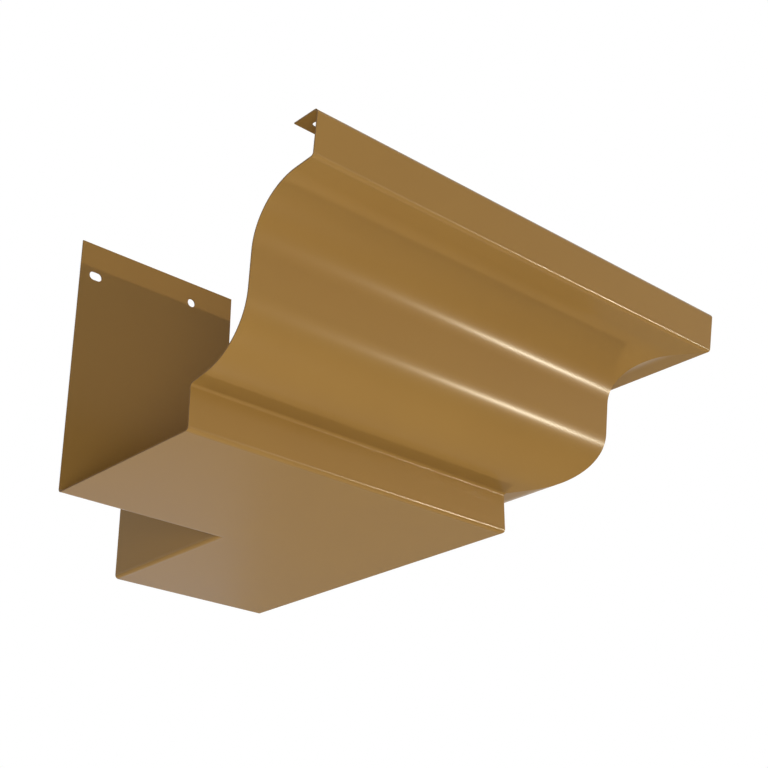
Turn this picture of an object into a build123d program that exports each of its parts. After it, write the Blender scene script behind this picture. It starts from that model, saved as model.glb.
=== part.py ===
"""External corner piece for an ogee-fronted roof gutter, folded from one pre-painted steel sheet.

Two equal legs of gutter meet at a right angle round the outside corner of a building.
The origin is the foot of the building's corner: the line where the two back walls meet, at the
level of the flat bottom. The first leg runs along -X with its front facing -Y, the second runs
along +Y with its front facing +X, and the plane x + y = 0 is the mitre between them.
Lengths are millimetres, angles are degrees, and +Z is up.
"""

import os

from build123d import *

os.makedirs("parts", exist_ok=True)

# The sheet, and the inside radius of every fold in it
sheet = 0.6
fold_radius = 1.5

# Each leg is measured along the building, from the corner to the open end
leg_length = 91.0

# The section, measured on the sheet's outer face, from the back wall round to the lip.
# Slopes are counted from level, and leans from upright.
back_height = 133.0
bottom_width = 100.0
riser_height = 21.0
ledge_length = 11.0
ledge_slope = 10.0
bulge_radius = 32.0
front_length = 17.0
front_lean = 4.0
cove_radius = 29.0
soffit_length = 11.5
soffit_slope = 4.0
band_height = 22.5
band_lean = 6.0
lip_width = 15.5

# The punched holes, each at its distance from the open end, and down from the wall's top edge or
# in from the fold between the band and the lip
hole_diameter = 4.5
slot_length = 7.0
slot_from_end = 8.75
slot_below_top = 17.25
wall_hole_from_end = 66.25
wall_hole_below_top = 11.25
lip_hole_from_end = 7.75
lip_hole_from_fold = 9.25

# A fold's outer face has this radius where the sheet turns in towards the channel, and the
# inside radius where it turns out, as it does at the top of the riser
turned_in = fold_radius + sheet
turned_out = fold_radius

front_angle = 90 - front_lean
band_angle = 90 - band_lean

# The section's plane is at the open end of the first leg, with its own x away from the building
section_plane = Plane(origin=(-leg_length, 0, 0), x_dir=(0, -1, 0), z_dir=(-1, 0, 0))
mitre_plane = Plane(origin=(0, 0, 0), z_dir=(1, 1, 0))

with BuildPart() as gutter_corner:
    with BuildSketch(section_plane):
        with BuildLine():
            # Down the back wall, across the bottom, up the riser and out along the ledge
            riser_top = Vector(bottom_width, riser_height)
            ledge_end = PolarLine(riser_top, ledge_length, ledge_slope, mode=Mode.PRIVATE) @ 1
            trough = FilletPolyline(
                (0, back_height),
                (0, 0),
                (bottom_width, 0),
                riser_top,
                ledge_end,
                radius=(turned_in, turned_in, turned_out),
            )
            # The ogee: a bulge and a cove, each tangent to the flat stretches beside it
            bulge = JernArc(trough @ 1, trough % 1, bulge_radius, front_angle - ledge_slope)
            front = PolarLine(bulge @ 1, front_length, front_angle)
            cove = JernArc(front @ 1, front % 1, cove_radius, soffit_slope - front_angle)
            # Along the soffit to the crest, up the band and back along the lip
            crest = PolarLine(cove @ 1, soffit_length, soffit_slope, mode=Mode.PRIVATE) @ 1
            band = PolarLine(
                crest,
                band_height,
                band_angle,
                length_mode=LengthMode.VERTICAL,
                mode=Mode.PRIVATE,
            )
            band_top = band @ 1
            FilletPolyline(
                cove @ 1,
                crest,
                band_top,
                band_top - Vector(lip_width, 0),
                radius=turned_in,
            )
            # The sheet's thickness lies inside its outer face
            offset(amount=sheet, side=Side.RIGHT)
        make_face()
    # The leg runs past the building's corner until its lip reaches the mitre, and is cut there
    extrude(amount=-leg_length - band_top.X)
    split(bisect_by=mitre_plane, keep=Keep.BOTTOM)

    # The slot and the round hole through the back wall, for the screws that fix it
    with BuildSketch(Plane(origin=(-leg_length, 0, back_height), x_dir=(1, 0, 0), z_dir=(0, -1, 0))):
        with Locations((slot_from_end, -slot_below_top)):
            SlotOverall(slot_length, hole_diameter)
        with Locations((wall_hole_from_end, -wall_hole_below_top)):
            Circle(hole_diameter / 2)
    extrude(amount=sheet, mode=Mode.SUBTRACT)

    # The hole through the lip, for a bracket or the next length's lip
    with BuildSketch(Plane(origin=(-leg_length, -band_top.X, band_top.Y))):
        with Locations((lip_hole_from_end, lip_hole_from_fold)):
            Circle(hole_diameter / 2)
    extrude(amount=-sheet, mode=Mode.SUBTRACT)

    # The second leg is the first one's mirror image across the mitre
    mirror(about=mitre_plane)

gutter_corner.part.label = "gutter_corner"
export_step(gutter_corner.part, "parts/gutter_corner.step")
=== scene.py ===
import bpy
import numpy as np
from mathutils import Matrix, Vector


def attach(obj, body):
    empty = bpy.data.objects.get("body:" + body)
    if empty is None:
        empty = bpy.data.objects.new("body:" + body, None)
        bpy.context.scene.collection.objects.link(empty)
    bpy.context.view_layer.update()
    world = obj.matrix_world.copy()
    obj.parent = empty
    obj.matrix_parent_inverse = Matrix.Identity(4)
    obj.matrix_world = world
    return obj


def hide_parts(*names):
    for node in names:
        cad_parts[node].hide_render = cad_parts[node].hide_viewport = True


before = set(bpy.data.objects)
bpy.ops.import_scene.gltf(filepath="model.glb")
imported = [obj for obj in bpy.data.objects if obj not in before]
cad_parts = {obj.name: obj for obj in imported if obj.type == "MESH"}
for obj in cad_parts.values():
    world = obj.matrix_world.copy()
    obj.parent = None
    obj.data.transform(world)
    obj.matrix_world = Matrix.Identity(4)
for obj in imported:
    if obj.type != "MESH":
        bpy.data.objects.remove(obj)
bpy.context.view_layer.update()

MM = 0.001

# The sheet and its section in millimetres and degrees, as the part's source has them
SHEET = 0.6
LEG = 91.0
BACK_HEIGHT = 133.0
BOTTOM = 100.0
RISER = 21.0
LEDGE, LEDGE_SLOPE = 11.0, 10.0
BULGE_RADIUS, COVE_RADIUS = 32.0, 29.0
FRONT, FRONT_SLOPE = 17.0, 86.0
SOFFIT, SOFFIT_SLOPE = 11.5, 4.0
BAND_HEIGHT, BAND_SLOPE = 22.5, 84.0
LIP = 15.5
FOLD_IN, FOLD_OUT = 2.1, 1.5    # outer radius of a fold towards the channel, and away from it

# The punched holes, with their distances from the open end, the wall's top and the lip's fold
HOLE = 2.25                     # radius of the round holes and of the slot's ends
SLOT_REACH = 1.25               # from the slot's middle to the centre of each end
SLOT_ALONG, WALL_HOLE_ALONG, LIP_HOLE_ALONG = 8.75, 66.25, 7.75
SLOT_DOWN, WALL_HOLE_DOWN, LIP_HOLE_IN = 17.25, 11.25, 9.25
SLOT_HALF, HOLE_HALF = 5.5, 4.5     # half width of the patch of sheet fitted round each hole
WALL_PATCH, LIP_PATCH = 6.0, 3.6    # and its reach beyond the holes' middles across the sheet

ARC_STEP = 3.0                  # degrees of turn between two points of a bend
HOLE_POINTS = 48                # points round the edge of a hole
FADE = 1.4                      # over this much flat the smoothed paint of a fold fades out

PAINT, CUT_EDGE, PRESSED_PAINT = 0, 1, 2    # the finishes' numbers on the mesh

# The paint. Its tint and the flats' roughness drift between two values, at DRIFT apart. The peel
# has its own distance and depth, and is longer along the coil by PEEL_STRETCH.
PAINT_TINTS = "#906D37", "#947139"
DRIFT, PEEL, PEEL_DEPTH, PEEL_STRETCH = 45.0, 1.2, 0.0015, 2.5
FLAT_ROUGH, FOLD_ROUGH, SKIN_ROUGH = (0.33, 0.37), 0.30, 0.195
SKIN_GLOSS, PRESSED_GLOSS = 0.2, 0.5

# The cut edge, and how far apart the grain of its tear is
EDGE_TINTS = "#654823", "#7D5B2C"
EDGE_ROUGH = 0.42, 0.58
TEAR = 0.5

# The studio, in metres
FLOOR_HALF, FLOOR_LEVEL = 30.0, -0.95
FLOOR_WHITE = "#F2F2F0"
GLOW, GLOW_FALL = 0.9, 0.65     # the floor's paleness to the camera, and what 1 m away takes off it
GLOW_IN_GLOSS = 0.5             # and to gloss
SKY_LIGHT = 0.1
PART_MIDDLE = (0.04, -0.04, 0.066)

# Each lamp's name, direction from the part's middle, distance, level, width, height and colour
LAMPS = (
    ("front_lamp", (0.672, -0.74, 0.032), 1.55, 0.36, 0.21, 0.008, "#FFF4D8"),
    ("low_lamp", (0.173, 0.299, -0.938), 0.923, 0.26, 0.02, 0.02, "#FFFFFF"),
    ("near_softbox", (-0.617, -0.666, -0.42), 1.0, 0.49, 0.5, 0.5, "#FFFFFF"),
    ("front_softbox", (-0.1, -0.85, 0.5), 1.3, 0.12, 0.6, 0.6, "#FFFFFF"),
    ("low_front_softbox", (0.2, -0.62, -0.75), 1.3, 0.15, 0.3, 0.3, "#FFFFFF"),
    ("left_softbox", (-0.85, 0.15, -0.5), 1.3, 0.13, 0.6, 0.6, "#FFFFFF"),
    ("back_softbox", (0.3, 0.85, 0.42), 1.4, 0.6, 1.1, 1.1, "#FFFFFF"),
    ("top_softbox", (0.15, 0.4, 0.9), 1.4, 0.4, 1.1, 1.1, "#FFFFFF"),
    ("far_softbox", (0.39, 0.86, -0.31), 1.4, 0.027, 0.5, 0.5, "#A8D2FF"),
)


# ---------------------------------------------------------------- the sheet

def fold_reach(turn, radius):
    """How far a fold reaches along each of the two flats that it joins: r tan(turn / 2)."""
    return radius * np.tan(np.radians(abs(turn)) / 2)


def flat(length, *marks):
    """A straight stretch as steps, cut where the folds' paint fades out and at the marks.

    The marks are distances along the stretch. Each step is its length, no turn and no radius.
    """
    cuts = np.unique([0, FADE, *marks, length - FADE, length])
    return [(step, 0.0, 0.0) for step in np.diff(cuts)]


def walk_section():
    """The sheet's outer face in section, walked from the wall's top edge to the lip's free edge.

    Each stretch is a straight of some length or a turn of some radius. A turn is cut into equal
    small angles a, and each gives a chord of 2 r sin(a / 2) along the heading half-way through
    it, so its points lie on the true arc. The points are the running sum of the chords, and the
    outward normal is the heading turned a quarter clockwise.
    Returns points and normals as out + i up, the girth walked to each point, 1 at the points of
    the small folds, which of the steps between points lie on a fold towards the channel, and
    the rows where the patches of the wall and of the lip begin and end.
    """
    riser_fold = LEDGE_SLOPE - 90
    crest_fold = BAND_SLOPE - SOFFIT_SLOPE
    lip_fold = 180 - BAND_SLOPE
    riser_end = fold_reach(riser_fold, FOLD_OUT)
    crest_end = fold_reach(crest_fold, FOLD_IN)
    lip_end = fold_reach(lip_fold, FOLD_IN)
    wall_marks = WALL_HOLE_DOWN - WALL_PATCH, SLOT_DOWN + WALL_PATCH
    lip_marks = LIP_HOLE_IN - lip_end - LIP_PATCH, LIP_HOLE_IN - lip_end + LIP_PATCH
    stretches = np.array([
        *flat(BACK_HEIGHT - FOLD_IN, *wall_marks),
        (0, 90, FOLD_IN),
        *flat(BOTTOM - 2 * FOLD_IN),
        (0, 90, FOLD_IN),
        *flat(RISER - FOLD_IN - riser_end),
        (0, riser_fold, FOLD_OUT),
        *flat(LEDGE - riser_end),
        (0, FRONT_SLOPE - LEDGE_SLOPE, BULGE_RADIUS),
        (FRONT, 0, 0),
        (0, SOFFIT_SLOPE - FRONT_SLOPE, COVE_RADIUS),
        *flat(SOFFIT - crest_end),
        (0, crest_fold, FOLD_IN),
        *flat(BAND_HEIGHT / np.sin(np.radians(BAND_SLOPE)) - crest_end - lip_end),
        (0, lip_fold, FOLD_IN),
        *flat(LIP - lip_end, *lip_marks),
    ])
    straight, turn, radius = stretches.T
    steps = np.maximum(1, np.ceil(np.abs(turn) / ARC_STEP)).astype(int)
    of = np.repeat(np.arange(len(steps)), steps)
    small = np.radians(turn[of] / steps[of])
    arc_chord = 2 * radius[of] * np.sin(np.abs(small) / 2)
    chord = np.where(radius[of] > 0, arc_chord, straight[of])
    heading = np.cumsum(np.concatenate([[-np.pi / 2], small]))
    walked = chord * np.exp(1j * (heading[1:] - small / 2))
    points = np.cumsum(np.concatenate([[1j * BACK_HEIGHT], walked]))
    normals = np.exp(1j * (heading - np.pi / 2))
    girth = np.cumsum(np.concatenate([[0], chord]))
    small_fold = (radius[of] > 0) & (radius[of] < BULGE_RADIUS / 2)
    bent = np.append(small_fold, False) | np.insert(small_fold, 0, False)
    lip_start = girth[-1] - (LIP - lip_end)
    patch_ends = *wall_marks, lip_start + lip_marks[0], lip_start + lip_marks[1]
    rows = [int(np.argmin(np.abs(girth - at))) for at in patch_ends]
    return points, normals, girth, bent.astype(float), radius[of] == FOLD_IN, rows


def leg_space(along, out_up):
    """The first leg's places, in metres, of points in it.

    Each point lies along the leg from its open end, and at out + i up in section.
    """
    return np.stack([along - LEG, -out_up.real, out_up.imag], -1) * MM


def leg_direction(out_up):
    """First leg's direction of a section vector out + i up."""
    return np.stack([0 * out_up.real, -out_up.real, out_up.imag], -1)


def fold_leg():
    """The first leg, open end to mitre plane, as a closed sheet of true thickness and holes.

    The section's rows are carried along straight columns, the last of which lies in the mitre
    plane, where the distance along the leg is the leg's length plus the point's distance out.
    The inner face is the outer one moved in by the sheet along its normal. A patch with a hole
    has no quad: each point of the hole's edge, ring p(i), gives a triangle with p(i + 1) and the
    patch corner in its quadrant, and four more triangles close the patch between two corners.
    Returns vertices, their marks (along, girth, bent), groups of faces (corners, corner normals,
    finish), and the vertices in the mitre plane.
    """
    points, normals, girth, bent, pressed, patch_rows = walk_section()
    wall_top, wall_foot, lip_front, lip_back = patch_rows
    columns = np.array([0, SLOT_ALONG - SLOT_HALF, SLOT_ALONG + SLOT_HALF,
                        WALL_HOLE_ALONG - HOLE_HALF, WALL_HOLE_ALONG + HOLE_HALF, 0])
    rows_n, cols_n = len(points), len(columns)
    places, marks, faces = [], [], []

    def skin_grid(depth):
        """Vertices of one face of the sheet, depth in from the outer one."""
        line = points - depth * normals
        along = np.tile(columns, (rows_n, 1))
        along[:, -1] = LEG + line.real
        start = sum(map(len, places))
        places.append(leg_space(along, np.tile(line[:, None], cols_n)).reshape(-1, 3))
        mark = along, np.tile(girth[:, None], cols_n), np.tile(bent[:, None], cols_n)
        marks.append(np.stack(mark, -1).reshape(-1, 3))
        return start + np.arange(rows_n * cols_n).reshape(rows_n, cols_n)

    outer, inner = skin_grid(0.0), skin_grid(SHEET)
    facing = leg_direction(normals)

    def cell_corners(grid):
        """The four corners of every cell, in the order that faces out on the outer face."""
        return np.stack([grid[:-1, :-1], grid[:-1, 1:], grid[1:, 1:], grid[1:, :-1]], -1)

    # Top and foot rows, column, the hole's middle down and along the sheet, and a slot's reach
    patches = ((wall_top, wall_foot, 1, SLOT_DOWN, SLOT_ALONG, SLOT_REACH),
               (wall_top, wall_foot, 3, WALL_HOLE_DOWN, WALL_HOLE_ALONG, 0.0),
               (lip_front, lip_back, 1, girth[-1] - LIP + LIP_HOLE_IN, LIP_HOLE_ALONG, 0.0))
    whole = np.ones((rows_n - 1, cols_n - 1), bool)
    for top, foot, column, *_ in patches:
        whole[top:foot, column] = False
    cell_normals = np.stack([facing[:-1], facing[:-1], facing[1:], facing[1:]], 1)
    cell_normals = cell_normals[:, None].repeat(cols_n - 1, 1)
    pressed = pressed[:, None]
    for cells, finish in ((whole & ~pressed, PAINT), (whole & pressed, PRESSED_PAINT)):
        faces.append((cell_corners(outer)[cells], cell_normals[cells], finish))
        faces.append((cell_corners(inner)[cells][:, ::-1], -cell_normals[cells][:, ::-1], finish))

    def rim(a, b, c, d, normal):
        """Cut edge of the sheet: quads with corners along four index rows, all facing one way."""
        quads = np.stack([a, b, c, d], -1)
        faces.append((quads, np.broadcast_to(normal, quads.shape + (3,)), CUT_EDGE))

    rim(outer[0, :-1], inner[0, :-1], inner[0, 1:], outer[0, 1:], (0, 0, 1))
    rim(outer[-1, 1:], inner[-1, 1:], inner[-1, :-1], outer[-1, :-1], (0, 1, 0))
    rim(outer[:-1, 0], outer[1:, 0], inner[1:, 0], inner[:-1, 0], (-1, 0, 0))

    here = np.arange(HOLE_POINTS)
    after = np.roll(here, -1)
    angle = (here + 0.5) * 2 * np.pi / HOLE_POINTS
    quadrant = here * 4 // HOLE_POINTS
    turning = np.flatnonzero(quadrant != quadrant[after])
    turned = after[turning]
    for top, foot, column, down, middle, reach in patches:
        along = middle + np.sign(np.cos(angle)) * reach + HOLE * np.cos(angle)
        across = down + HOLE * np.sin(angle)
        downwards = (points[foot] - points[top]) / (girth[foot] - girth[top])
        edge = points[top] + (across - girth[top]) * downwards
        sideways = np.cos(angle)[:, None] * np.array([1.0, 0, 0])
        into_hole = -(sideways + np.sin(angle)[:, None] * leg_direction(downwards))
        rings = []
        for grid, depth, side in ((outer, 0.0, 1), (inner, SHEET, -1)):
            start = sum(map(len, places))
            places.append(leg_space(along, edge - depth * normals[top]))
            marks.append(np.stack([along, across, 0 * across], -1))
            ring = start + here
            corner = grid[[foot, foot, top, top], [column + 1, column, column, column + 1]]
            fan = np.stack([corner[quadrant], ring[after], ring], -1)
            closing = corner[quadrant[turning]], corner[quadrant[turned]], ring[turned]
            triangles = np.concatenate([fan, np.stack(closing, -1)])[:, ::side]
            outwards = np.broadcast_to(side * facing[top], triangles.shape + (3,))
            faces.append((triangles, outwards, PAINT))
            rings.append(ring)
        wall = np.stack([rings[0], rings[0][after], rings[1][after], rings[1]], -1)
        faces.append((wall, into_hole[np.stack([here, after, after, here], -1)], CUT_EDGE))

    mitre = np.concatenate([outer[:, -1], inner[:, -1]])
    return np.concatenate(places), np.concatenate(marks), faces, mitre


def across_mitre(vectors):
    """Mirror image in the mitre plane: x and y are swapped and negated, and z is kept."""
    return -vectors[..., [1, 0, 2]] * np.array([1, 1, -1])


def fold_corner():
    """Both legs as one mesh: the second mirrors the first and is welded to it at the mitre."""
    places, marks, faces, mitre = fold_leg()
    count = len(places)
    partner = np.arange(count) + count
    partner[mitre] = mitre
    groups = list(faces)
    for corners, facing, finish in faces:
        groups.append((partner[corners][:, ::-1], across_mitre(facing)[:, ::-1], finish))
    both = np.concatenate([places, across_mitre(places)])
    marks = np.concatenate([marks, marks])
    used = np.unique(np.concatenate([corners.ravel() for corners, *_ in groups]))
    new_number = np.zeros(len(both), int)
    new_number[used] = np.arange(len(used))
    polygons = [polygon for corners, *_ in groups for polygon in new_number[corners].tolist()]
    finishes = [np.full(len(corners), finish) for corners, _, finish in groups]
    corner_normals = [facing.reshape(-1, 3) for _, facing, _ in groups]

    mesh = bpy.data.meshes.new("gutter_corner_sheet")
    mesh.from_pydata(both[used], [], polygons)
    mesh.polygons.foreach_set("material_index", np.concatenate(finishes))
    mesh.polygons.foreach_set("use_smooth", np.ones(len(mesh.polygons), bool))
    corner_vertex = np.zeros(len(mesh.loops), int)
    mesh.loops.foreach_get("vertex_index", corner_vertex)
    along, girth, bent = marks[used].T
    layer = mesh.uv_layers.new(name="sheet_metres")
    layer.data.foreach_set("uv", (np.stack([along, girth], -1)[corner_vertex] * MM).ravel())
    mesh.attributes.new("fold", "FLOAT", "POINT").data.foreach_set("value", bent)
    mesh.normals_split_custom_set(np.concatenate(corner_normals))
    mesh.update()
    return mesh


# ---------------------------------------------------------------- finishes

def linear(hex_colour):
    """A written sRGB colour as the linear colour that the shader takes."""
    value = np.array([int(hex_colour[i:i + 2], 16) for i in (1, 3, 5)]) / 255
    value = np.where(value <= 0.04045, value / 12.92, ((value + 0.055) / 1.055) ** 2.4)
    return (*value.tolist(), 1.0)


def add(tree, kind, settings=None, **inputs):
    """A node of one kind with its settings; each input is a value, or an output to link.

    An input goes by its name, with _ for a space, or by i and its number.
    """
    node = tree.nodes.new(kind)
    for name, value in (settings or {}).items():
        setattr(node, name, value)
    for name, value in inputs.items():
        by_number = name[0] == "i" and name[1:].isdigit()
        socket = node.inputs[int(name[1:]) if by_number else name.replace("_", " ")]
        if isinstance(value, bpy.types.NodeSocket):
            tree.links.new(value, socket)
        else:
            socket.default_value = value
    return node


def new_finish(name):
    """A material and its node tree, still empty."""
    finish = bpy.data.materials.new(name)
    finish.use_nodes = True
    finish.node_tree.nodes.clear()
    return finish, finish.node_tree


def painted_steel(name, skin_gloss):
    """Coil-coated steel: baked semi-gloss polyester paint over zinc-coated sheet, both faces.

    The clear resin skin gives the narrow bright lines on the curves, and the pigment under it
    the soft glow round them. Roller-laid paint has a fine peel drawn out along the coil, which
    here runs along the legs, and its gloss drifts a little over half a hand's breadth. The
    folding tools leave the paint of the folds slightly smoother. Where a blade has pressed the
    sheet in towards the channel, its skin is glossier and gives a thin bright line.
    """
    finish, tree = new_finish(name)
    place = add(tree, "ShaderNodeTexCoord").outputs["Object"]
    sheet = add(tree, "ShaderNodeUVMap", {"uv_map": "sheet_metres"}).outputs["UV"]
    fold = add(tree, "ShaderNodeAttribute", {"attribute_name": "fold"}).outputs["Fac"]
    drift = add(tree, "ShaderNodeTexNoise", Vector=place, Scale=1 / (DRIFT * MM), Detail=2.0)
    drift = drift.outputs["Fac"]
    along_coil = add(tree, "ShaderNodeMapping", Vector=sheet, Scale=(1 / PEEL_STRETCH, 1.0, 1.0))
    peel = add(tree, "ShaderNodeTexNoise", Vector=along_coil.outputs["Vector"],
               Scale=1 / (PEEL * MM), Detail=1.0)
    tint = add(tree, "ShaderNodeMix", {"data_type": "RGBA"}, i0=drift,
               i6=linear(PAINT_TINTS[0]), i7=linear(PAINT_TINTS[1]))
    flat_rough = add(tree, "ShaderNodeMapRange", Value=drift,
                     To_Min=FLAT_ROUGH[0], To_Max=FLAT_ROUGH[1])
    rough = add(tree, "ShaderNodeMix", i0=fold, i2=flat_rough.outputs[0], i3=FOLD_ROUGH)
    bump = add(tree, "ShaderNodeBump", Height=peel.outputs["Fac"],
               Strength=1.0, Distance=PEEL_DEPTH * MM)
    shader = add(tree, "ShaderNodeBsdfPrincipled",
                 Base_Color=tint.outputs[2], Roughness=rough.outputs[0],
                 IOR=1.5, Specular_IOR_Level=0.07, Normal=bump.outputs[0],
                 Coat_Weight=skin_gloss, Coat_Roughness=SKIN_ROUGH, Coat_IOR=1.5,
                 Coat_Normal=bump.outputs[0])
    add(tree, "ShaderNodeOutputMaterial", Surface=shader.outputs[0])
    return finish


def cut_edge():
    """Sheared zinc-coated steel: the dull edge of the sheet, a little darker than its faces.

    The shears drag the paint over the torn metal, so the edge is brown with some grey. The
    tear's grain is a little finer than the sheet is thick, and it changes the edge's colour and
    dullness along it.
    """
    finish, tree = new_finish("sheared_zinc_steel_edge")
    place = add(tree, "ShaderNodeTexCoord").outputs["Object"]
    tear = add(tree, "ShaderNodeTexNoise", Vector=place, Scale=1 / (TEAR * MM), Detail=2.0)
    tear = tear.outputs["Fac"]
    tint = add(tree, "ShaderNodeMix", {"data_type": "RGBA"}, i0=tear,
               i6=linear(EDGE_TINTS[0]), i7=linear(EDGE_TINTS[1]))
    rough = add(tree, "ShaderNodeMapRange", Value=tear,
                To_Min=EDGE_ROUGH[0], To_Max=EDGE_ROUGH[1])
    shader = add(tree, "ShaderNodeBsdfPrincipled",
                 Base_Color=tint.outputs[2], Roughness=rough.outputs[0],
                 Metallic=0.3, Specular_IOR_Level=0.2)
    add(tree, "ShaderNodeOutputMaterial", Surface=shader.outputs[0])
    return finish


# The finishes go on in the order of their numbers
skin = bpy.data.objects.new("gutter_corner_sheet", fold_corner())
bpy.context.collection.objects.link(skin)
skin.data.materials.append(painted_steel("coil_coated_steel", SKIN_GLOSS))
skin.data.materials.append(cut_edge())
skin.data.materials.append(painted_steel("coil_coated_steel_pressed_in_folds", PRESSED_GLOSS))
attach(skin, "root")
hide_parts("gutter_corner")


# ---------------------------------------------------------------- studio

def studio_floor():
    """A plain pale floor, far enough below the part for the camera to look up at it.

    The camera sees its matt light and shadow on a plain paleness, GLOW less GLOW_FALL over the
    distance from the part's origin, so that it rises to the sky's white as the lamps' light
    falls off. Gloss sees it as an even grey-white.
    """
    half = FLOOR_HALF
    outline = [(x, y, FLOOR_LEVEL) for x, y in ((-half, -half), (half, -half),
                                                (half, half), (-half, half))]
    mesh = bpy.data.meshes.new("floor")
    mesh.from_pydata(outline, [], [(0, 1, 2, 3)])
    floor = bpy.data.objects.new("floor", mesh)
    bpy.context.collection.objects.link(floor)
    finish, tree = new_finish("matt_white_floor")
    path = add(tree, "ShaderNodeLightPath").outputs
    place = add(tree, "ShaderNodeTexCoord").outputs["Object"]
    away = add(tree, "ShaderNodeVectorMath", {"operation": "LENGTH"}, i0=place)
    falling = add(tree, "ShaderNodeMath", {"operation": "DIVIDE"},
                  i0=GLOW_FALL, i1=away.outputs["Value"])
    paleness = add(tree, "ShaderNodeMath", {"operation": "SUBTRACT"},
                   i0=GLOW, i1=falling.outputs[0])
    to_camera = add(tree, "ShaderNodeMath", {"operation": "MULTIPLY"},
                    i0=paleness.outputs[0], i1=path["Is Camera Ray"])
    matt = add(tree, "ShaderNodeBsdfDiffuse", Color=linear(FLOOR_WHITE))
    glow = add(tree, "ShaderNodeEmission", Color=(1, 1, 1, 1), Strength=to_camera.outputs[0])
    direct = add(tree, "ShaderNodeAddShader", i0=matt.outputs[0], i1=glow.outputs[0])
    pale = add(tree, "ShaderNodeEmission", Color=linear(FLOOR_WHITE), Strength=GLOW_IN_GLOSS)
    in_gloss = add(tree, "ShaderNodeMath", {"operation": "ADD", "use_clamp": True},
                   i0=path["Is Glossy Ray"], i1=path["Is Transmission Ray"])
    shader = add(tree, "ShaderNodeMixShader", i0=in_gloss.outputs[0],
                 i1=direct.outputs[0], i2=pale.outputs[0])
    add(tree, "ShaderNodeOutputMaterial", Surface=shader.outputs[0])
    mesh.materials.append(finish)


def studio_sky(strength):
    """Soft even light from all round, which the camera and gloss see as plain white."""
    world = bpy.data.worlds.new("studio")
    bpy.context.scene.world = world
    world.use_nodes = True
    tree = world.node_tree
    tree.nodes.clear()
    path = add(tree, "ShaderNodeLightPath").outputs
    seen = add(tree, "ShaderNodeMath", {"operation": "ADD"},
               i0=path["Is Camera Ray"], i1=path["Is Glossy Ray"])
    seen = add(tree, "ShaderNodeMath", {"operation": "ADD", "use_clamp": True},
               i0=seen.outputs[0], i1=path["Is Transmission Ray"])
    level = add(tree, "ShaderNodeMapRange", Value=seen.outputs[0], To_Min=strength, To_Max=1.0)
    back = add(tree, "ShaderNodeBackground", Color=(1, 1, 1, 1), Strength=level.outputs[0])
    add(tree, "ShaderNodeOutputWorld", Surface=back.outputs[0])


def lamp(name, direction, distance, level, width, height, colour):
    """An upright lamp that faces the part from a direction.

    Its level is how bright a white sheet at the part shows that faces it. A flat lamp of power P
    lights such a sheet at a distance d with P / (pi d squared), and its brightness is that over
    pi, so the power is pi squared times the level times d squared.
    """
    light = bpy.data.lights.new(name, "AREA")
    light.shape, light.size, light.size_y = "RECTANGLE", width, height
    light.energy = np.pi ** 2 * level * distance ** 2
    light.color = linear(colour)[:3]
    holder = bpy.data.objects.new(name, light)
    bpy.context.collection.objects.link(holder)
    away = Vector(direction).normalized()
    holder.location = Vector(PART_MIDDLE) + away * distance
    holder.rotation_mode = "QUATERNION"
    holder.rotation_quaternion = away.to_track_quat("Z", "Y")
    holder.visible_camera = False


def studio_camera():
    """The photograph's place and lens: below the part, in front of its first leg, looking up."""
    lens = bpy.data.cameras.new("camera")
    lens.sensor_width, lens.lens = 36.0, 70.149
    camera = bpy.data.objects.new("camera", lens)
    bpy.context.collection.objects.link(camera)
    camera.location = (-0.417187, -0.570897, -0.241699)
    looking = Vector((0.616630, 0.665741, 0.420187))
    camera.rotation_mode = "QUATERNION"
    camera.rotation_quaternion = looking.to_track_quat("-Z", "Y")
    bpy.context.scene.camera = camera


studio_floor()
studio_sky(SKY_LIGHT)
for row in LAMPS:
    lamp(*row)
studio_camera()
bpy.context.scene.view_settings.view_transform = "Standard"
